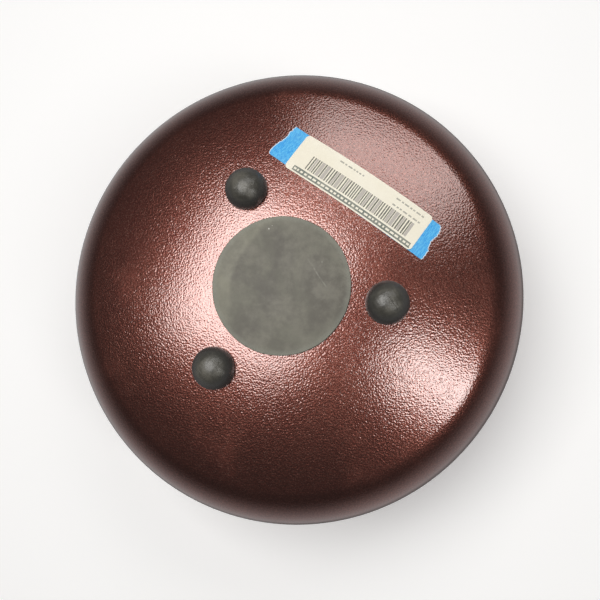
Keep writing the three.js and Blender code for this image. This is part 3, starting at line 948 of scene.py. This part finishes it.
def foot(i):
    profile, domed = foot_profile()
    radius, z = profile.T
    angle = turns(200)[:, None]
    phase = np.random.default_rng(40 + i).uniform(0, 6.28, 10)
    # the domed part is a little out of round
    swell = 1 + domed * waves(angle, ((0.004, 2, phase[0]), (0.003, 3, phase[1] + z * 0.2),
                                      (0.0015, 7, phase[2] + z)))
    x, y = radius * swell * np.cos(angle), radius * swell * np.sin(angle)
    rotation = FOOT_PLACES[i][0]
    world_x = rotation[0, 0] * x + rotation[0, 1] * y
    world_y = rotation[1, 0] * x + rotation[1, 1] * y
    on_crown = domed & (z > FOOT_SKIRT + 2)
    dip = crease_depth(world_x, world_y, CREASES[i], phase[3]) * on_crown
    lump = on_crown * 0.05 * (
        np.sin(0.9 * x + phase[4]) * np.sin(0.8 * y + phase[5])
        + 0.5 * np.sin(1.9 * x + phase[6]) * np.sin(2.1 * y + phase[7]))
    lump *= np.clip((FOOT_CROWN - z) / 1.0, 0, 1)
    reach = np.sqrt(radius * radius + (z - FOOT_SKIRT) ** 2)
    shrink = (dip + lump) / np.maximum(reach, 1.0)
    grid = np.stack([x * (1 - shrink), y * (1 - shrink),
                     z - shrink * np.maximum(z - FOOT_SKIRT, 0)], -1)
    grid = at_foot(grid, i)
    # the tip settles on the table plane
    low, soft = 0.02, 0.25
    height = grid[..., 2]
    settled = low + soft * np.exp(np.clip((height - low - soft) / soft, -6, 0))
    grid[..., 2] = np.where(height < low + soft, settled, height)
    return turned_piece(f"foot_{i + 1}_rubber", grid, FOOT_RUBBER, sharp=60, flip=False)


# ---------------------------------------------------------------------------
# Fasteners, in a foot's own frame
# ---------------------------------------------------------------------------
def stud(i):
    """Moulded-in stud: disc head and a rolled M5 x 0.8 thread."""
    pitch, depth = 0.8, 0.42
    thread_top, thread_end, point_z = 2.2, -8.6, -8.9
    head_r, head_top = STUD_HEAD_R, 5.1
    head = [(r, head_top) for r in (0.0, 3.0, 6.0, head_r - 0.35)]
    head += [(head_r - 0.1, 5.0), (head_r, 4.75), (head_r, 3.55), (head_r - 0.1, 3.36),
             (head_r - 0.3, 3.3), (STUD_R + 0.4, 3.3), (STUD_R, 3.0), (STUD_R, 2.3)]
    head_radius, head_z = np.array(head).T
    angle = turns(48)[:, None]
    z = np.arange(thread_top, thread_end - 0.01, -pitch / 8)
    tooth = np.abs((z / pitch + angle / (2 * math.pi)) % 1.0 - 0.5) * 2
    fade = (np.clip((thread_top - z) / 1.0, 0, 1)
            * np.clip((z - thread_end) / 0.8 + 0.35, 0, 1))
    chamfer = 0.35 * np.clip((-8.1 - z) / 0.5, 0, 1)
    grid = np.concatenate([
        revolve(head_radius, angle, head_z),
        revolve(STUD_R - depth * tooth * fade - chamfer, angle, z),
        revolve(np.array([1.7, 0.0]), angle, point_z)], 1)
    return turned_piece(f"stud_{i + 1}_steel", at_foot(grid, i), STEEL, sharp=40)


def washer(i):
    high, bevel = -SHEET - 0.45, 0.18
    low = high - 1
    inner, outer = STUD_R + 0.25, 5.0
    profile = [(inner + bevel, high), (outer - bevel, high), (outer, high - bevel),
               (outer, low + bevel), (outer - bevel, low), (inner + bevel, low),
               (inner, low + bevel), (inner, high - bevel), (inner + bevel, high)]
    radius, z = np.array(profile).T
    grid = revolve(radius, turns(64)[:, None], z)
    return turned_piece(f"washer_{i + 1}_steel", at_foot(grid, i), STEEL, sharp=30)


def nut(i):
    """Hexagon nut with chamfered corners and a countersunk bore."""
    high, height, flats = -SHEET - 1.65, 4.0, 8.0
    low = high - height
    bore, sink = STUD_R + 0.15, 0.35
    angle = turns(96)
    corner_r, flat_r = flats / math.sqrt(3), flats / 2
    hexagon = flat_r / np.cos((angle % (math.pi / 3)) - math.pi / 6)
    hexagon = np.minimum(hexagon, corner_r - 0.06)
    chamfer = 0.32 * (hexagon - flat_r) / (corner_r - flat_r)
    # radius and z of each ring
    rings = ((bore, high - sink), (bore + sink, high), (flat_r - 0.1, high),
             (hexagon, high - 0.05 - chamfer), (hexagon, low + 0.05 + chamfer),
             (flat_r - 0.1, low), (bore + sink, low), (bore, low + sink),
             (bore, high - sink))
    grid = np.stack([revolve(radius, angle, z) for radius, z in rings], 1)
    return turned_piece(f"nut_{i + 1}_steel", at_foot(grid, i), STEEL, sharp=25)


# ---------------------------------------------------------------------------
# Tape and label, on the lower dome. s runs along the strip and t across it.
# ---------------------------------------------------------------------------
def on_lower_dome(s, t, proud, turn):
    angle = math.radians(turn)
    x = LABEL_AT[0] + s * math.cos(angle) - t * math.sin(angle)
    y = LABEL_AT[1] + s * math.sin(angle) + t * math.cos(angle)
    return np.stack([x, y, SEAM_Z - dome_height(np.hypot(x, y), proud)], -1)


def strip(s, t, low, high, turn, cell_materials, end_material=0):
    """Closed thin sheet on a grid of (s, t) points."""
    skin = Skin()
    top, bottom = on_lower_dome(s, t, high, turn), on_lower_dome(s, t, low, turn)
    faces = cells(top)[:, :, ::-1]
    for material in np.unique(cell_materials):
        skin.add(faces[cell_materials == material], material=int(material))
    skin.add_grid(bottom)
    for line, flip, material in ((np.s_[0], False, end_material),
                                 (np.s_[-1], True, end_material),
                                 (np.s_[:, 0], True, 0), (np.s_[:, -1], False, 0)):
        wall = np.stack([top[line], bottom[line]], 1)
        skin.add_grid(wall, material=material, flip=flip)
    return skin


# torn ends: place across the strip (-1 to 1), shift along it
TORN_LEFT = ((-1, 3.0), (-0.75, 2.4), (-0.6, 1.9), (-0.3, 2.1), (0.0, 1.5),
             (0.3, 0.2), (0.5, -0.7), (0.7, -0.8), (0.9, -0.6), (1, 0.4))
TORN_RIGHT = ((-1, -1.4), (-0.85, -0.2), (-0.6, 0.6), (-0.35, 0.3), (0.0, -0.3),
              (0.3, 0.7), (0.55, 1.8), (0.8, 1.9), (1, 1.2))


def tape():
    rng = np.random.default_rng(3)
    v = np.linspace(-1, 1, 64)
    u = np.linspace(0, 1, 240)[:, None]

    def torn_end(at, knots):
        """A slow wander with small teeth."""
        teeth = np.convolve(rng.normal(0, 0.30, len(v)), [0.25, 0.5, 0.25], "same")
        return at + np.interp(v, *np.array(knots).T) + teeth

    left = torn_end(-TAPE_LEFT, TORN_LEFT)
    right = torn_end(TAPE_RIGHT, TORN_RIGHT)
    s = left + (right - left) * u
    # long edges run nearly straight, the strip is faintly creped
    t = 0.65 + v * TAPE_W / 2 + 0.05 * np.sin(s * 0.23) + 0.03 * np.sin(s * 0.61)
    crepe = (0.018 * np.sin(s * 4.1 + 0.8 * np.sin(t * 0.7))
             + 0.014 * np.sin(s * 6.7 + 1.1 * np.sin(t * 0.45 + 2)))
    # the ends curl up over the last millimetres of the 117 mm strip
    curl = (0.10 * np.exp(-(np.minimum(u, 1 - u) * 117 / 1.2))
            * (0.6 + 0.4 * np.sin(v * 5 + 1)))
    cell_materials = np.zeros((len(u) - 1, len(v) - 1), int)
    cell_materials[[0, -1]] = TORN
    skin = strip(s, t, 0.05 + curl, 0.22 + crepe + curl, TAPE_TURN, cell_materials, TORN)
    return skin.build_smooth("tape_strip_paper", TAPE_MATERIALS, sharp=60)


# printed rectangles: s from, s to, t from, t to, material
BAND_PRINT = (-43.2, 46.3, 8.6, 12.1, BAND)
BAR_ROW = (-2.6, 7.4)
# rows of small marks: s from, s to, t from, t to
MARK_ROWS = ((-20.4, -2.2, -9.8, -8.8), (22.4, 43.0, -9.9, -8.9), (22.4, 43.0, -5.4, -4.4))


def print_bars(rng):
    """A plain random run of bars, not a real code; fine groups blur to grey."""
    bars, greys = [], []
    x, stop, limit = -36.0, 41.0, 42.0
    while x < stop:
        width = rng.choice([0.75, 0.85, 0.95])
        bars.append((x, min(x + width, limit), *BAR_ROW, DARK))
        x += width
        if rng.random() < 0.42:
            gap = rng.choice([0.25, 0.4])
            width = rng.choice([1.2, 1.7, 2.3])
            greys.append((x + gap, min(x + gap + width, limit), *BAR_ROW, GREY))
            x += gap + width + gap
        else:
            x += rng.choice([0.7, 0.85, 1.0])
    return bars + greys


def print_dashes(rng, x, stop, limit, row, widths, gaps, material):
    dashes = []
    while x < stop:
        width = rng.choice(widths)
        dashes.append((x, min(x + width, limit), *row, material))
        x += width + rng.choice(gaps)
    return dashes


def label_print():
    """All printed rectangles; later ones cover earlier ones."""
    rng = np.random.default_rng(21)
    prints = print_bars(rng) + [BAND_PRINT]
    # plain light blocks inside the dark band
    prints += print_dashes(rng, -42.0, stop=45.5, limit=math.inf, row=(9.7, 11.0),
                           widths=[1.2, 1.8, 2.6], gaps=[0.8, 1.2], material=PAPER)
    for start, stop, *row in MARK_ROWS:
        prints += print_dashes(rng, start, stop=stop, limit=stop, row=row,
                               widths=[1.4, 2.2, 3.0], gaps=[0.8, 1.1], material=FAINT)
    return prints


def spaced(lines, gap=0.011):
    """Sorted lines, less those within `gap` of the last one kept."""
    keep = []
    for line in np.unique(lines):
        if not keep or line - keep[-1] > gap:
            keep.append(line)
    return np.array(keep)


def label():
    prints = label_print()
    half_l, half_w = LABEL_L / 2, LABEL_W / 2
    flat_l, flat_w = half_l - LABEL_CORNER, half_w - LABEL_CORNER     # less the round corners
    # grid lines follow the print
    s_edges = [edge for rect in prints if rect != BAND_PRINT for edge in rect[:2]]
    t_edges = [edge for rect in prints for edge in rect[2:4]]
    s_lines = spaced(np.round(np.concatenate([np.linspace(-flat_l, flat_l, 68), s_edges]), 3))
    t_lines = np.round(np.concatenate([np.linspace(-flat_w, flat_w, 18), t_edges]), 3)
    round_t = LABEL_CORNER * np.sin(np.linspace(0, math.pi / 2, 7)[1:])
    t_lines = np.concatenate([-flat_w - round_t, t_lines, flat_w + round_t])
    t_lines = np.unique(np.round(t_lines, 4))
    over = np.maximum(np.abs(t_lines) - flat_w, 0)
    reach = np.sqrt(np.maximum(LABEL_CORNER * LABEL_CORNER - over * over, 0))
    steps = np.linspace(0, 1, 5)[1:, None]
    s = np.concatenate([-flat_l - reach * steps[::-1], s_lines[:, None] + 0 * reach,
                        flat_l + reach * steps])
    s_mid = (s[:-1, :-1] + s[1:, 1:]) / 2
    t_mid = (t_lines[:-1] + t_lines[1:]) / 2
    cell_materials = np.full(s_mid.shape, PAPER)
    for s0, s1, t0, t1, material in prints:
        inside = (s_mid > s0) & (s_mid < s1) & (t_mid > t0) & (t_mid < t1)
        cell_materials[inside] = material
    # edges bow a little, as a flat label does on a dome
    t = t_lines - 0.05 + 0.65 * (s / half_l) ** 2 + 0.1 * s / half_l
    s = s + 0.3
    # two opposite corners lift
    corner = np.clip((s - (half_l - 9)) / 9, 0, 1) * np.clip((t - (half_w - 8)) / 8, 0, 1)
    peel = np.clip((-s - (half_l - 6)) / 6, 0, 1) * np.clip((-t - (half_w - 6)) / 6, 0, 1)
    lift = (0.02 * np.sin(s * 0.21 + 1) * np.sin(t * 0.5)
            + 0.45 * corner ** 2 + 0.25 * peel ** 2)
    skin = strip(s, t, 0.27 + lift, 0.40 + lift, LABEL_TURN, cell_materials)
    return skin.build_smooth("price_label_paper", LABEL_MATERIALS, sharp=60)


# ---------------------------------------------------------------------------
# Make every piece, then put each on its body; the tongues keep their own place
# ---------------------------------------------------------------------------
def make_pieces():
    """Frame node, object and material slot of every piece."""
    pieces = [("top_shell", upper_shell(), "paint")]
    pieces += [(node, tongue_skin(node, tongue), "paint") for node, tongue in TONGUES.items()]
    pieces += [("bottom_shell", lower_shell(), "paint"),
               ("seam_weld", weld_bead(), "paint"),
               ("port_cover", port_cover(), "cover_rubber")]
    pieces += [(f"foot_{i + 1}", foot(i), "foot_rubber") for i in range(3)]
    for i in range(3):
        pieces += [(f"foot_stud_{i + 1}", stud(i), "steel"),
                   (f"foot_washer_{i + 1}", washer(i), "steel"),
                   (f"foot_nut_{i + 1}", nut(i), "steel")]
    return pieces + [("tape_strip", tape(), "tape"), ("price_label", label(), "label")]


for node, ob, slot in make_pieces():
    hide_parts(node)
    if node in TONGUES:
        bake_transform(ob)
    else:
        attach(ob, "port_cover" if node == "port_cover" else "drum")

# ---------------------------------------------------------------------------
# Stage: plain pale floors, soft studio light and camera; metres
# ---------------------------------------------------------------------------
scene = bpy.context.scene
FLOOR_HALF = 6.0


def floor_face(tree, glow, graze):
    """Pale face seen from its front only, gone with distance and at a grazing look."""
    matt = tree.node("BsdfDiffuse", {"Color": (0.86, 0.86, 0.86)})
    shine = tree.node("Emission", {"Color": (1, 1, 1), "Strength": glow})
    face = tree.node("AddShader", {0: matt.outputs[0], 1: shine.outputs[0]})
    distant = tree.ramp(tree.vec("LENGTH", tree.flat_position()), between=(0.6, 1.5))
    geometry = tree.node("NewGeometry").outputs
    clear = tree.node("BsdfTransparent")
    facing = tree.vec("DOT_PRODUCT", geometry["Incoming"], geometry["True Normal"])
    grazing = tree.ramp(facing, between=graze, to=(1.0, 0.0))
    hide = tree.math("MAXIMUM", geometry["Backfacing"], distant)
    hide = tree.math("MAXIMUM", hide, grazing)
    tree.finish(tree.node("MixShader", {0: hide, 1: face.outputs[0], 2: clear.outputs[0]}))


def floor(name, z, faces_up, graze, glow):
    """`graze` is the range of facing over which the floor appears."""
    half = FLOOR_HALF
    mesh = bpy.data.meshes.new(name)
    mesh.from_pydata([(-half, -half, z), (half, -half, z), (half, half, z), (-half, half, z)],
                     [], [(0, 1, 2, 3) if faces_up else (3, 2, 1, 0)])
    ob = bpy.data.objects.new(name, mesh)
    scene.collection.objects.link(ob)
    for ray in ("shadow", "diffuse", "glossy", "transmission"):
        setattr(ob, "visible_" + ray, False)
    mesh.materials.append(make_material(name, floor_face, glow=glow, graze=graze))


def studio_world():
    """Grey walls over a dim floor and under a dark ceiling; the camera sees near-white."""
    world = bpy.data.worlds.new("studio")
    scene.world = world
    world.use_nodes = True
    tree = Nodes(world.node_tree, "OutputWorld")
    height = tree.vec("DOT_PRODUCT", tree.coord["Generated"], (0, 0, 1))
    seen = tree.node("Background", {"Color": (0.955, 0.957, 0.96)})
    room = tree.mix(tree.ramp(height, between=(-0.5, 0.55)),
                    (0.05, 0.05, 0.05), (0.48, 0.48, 0.48))
    room = tree.mix(tree.ramp(height, between=(0.66, 0.90)), room, (0.13, 0.13, 0.13))
    unseen = tree.node("Background", {"Color": room})
    camera_ray = tree.node("LightPath").outputs["Is Camera Ray"]
    tree.finish(tree.node("MixShader", {0: camera_ray, 1: unseen.outputs[0],
                                        2: seen.outputs[0]}))


LIGHT_COLOUR = (1.0, 0.985, 0.965)
LIGHT_AIM = Vector((0, 0, 0.07))
# three on the underside, one overhead:
# name, direction from the drum, distance, width, height, power (W)
SOFTBOXES = (
    ("under_front", (-0.26, -0.13, -0.96), 1.2, 0.80, 0.70, 9.4),
    ("under_right", (0.50, 0.27, -0.82), 1.2, 0.24, 0.60, 2.8),
    ("under_back", (0.25, -0.60, -0.76), 1.3, 0.90, 0.45, 3.0),
    ("overhead", (-0.06, -0.10, 0.99), 2.2, 0.85, 0.85, 15.0),
)


def softbox(name, direction, distance, width, height, power):
    light = bpy.data.lights.new(name, "AREA")
    light.energy = power
    light.color = LIGHT_COLOUR
    light.shape = "RECTANGLE"
    light.size, light.size_y = width, height
    ob = bpy.data.objects.new(name, light)
    ob.location = LIGHT_AIM + Vector(direction).normalized() * distance
    ob.rotation_mode = "QUATERNION"
    ob.rotation_quaternion = (LIGHT_AIM - ob.location).to_track_quat("-Z", "Y")
    ob.visible_camera = False
    scene.collection.objects.link(ob)


def camera():
    """Looks up at the underside, with -y near the top of the view."""
    data = bpy.data.cameras.new("camera")
    ob = bpy.data.objects.new("camera", data)
    scene.collection.objects.link(ob)
    scene.camera = ob
    data.sensor_width = 36.0
    data.lens = 43.26
    data.clip_start, data.clip_end = 0.01, 50.0
    place = Vector((71.7, 54.5, SEAM_Z - 500.3)) * 0.001
    target = Vector((8.6, 6.3, SEAM_Z - 40.0)) * 0.001
    roll = -0.022          # radians
    forward = (target - place).normalized()
    right = forward.cross(Vector((math.sin(roll), -math.cos(roll), 0.0))).normalized()
    up = right.cross(forward)
    ob.rotation_mode = "QUATERNION"
    ob.rotation_quaternion = Matrix((right, up, -forward)).transposed().to_quaternion()
    ob.location = place


# the drum stands on one floor; seen from below it lies on the other, as if turned over
floor("floor_under", z=-0.0004, faces_up=True, graze=(0.02, 0.12), glow=0.46)
floor("floor_over", z=(SEAM_Z + SHELL_H) / 1000 + 0.0006, faces_up=False,
      graze=(0.45, 0.62), glow=0.27)
studio_world()
for box in SOFTBOXES:
    softbox(*box)
camera()

scene.view_settings.view_transform = "Standard"
scene.view_settings.look = "None"
scene.view_settings.exposure = 0.0
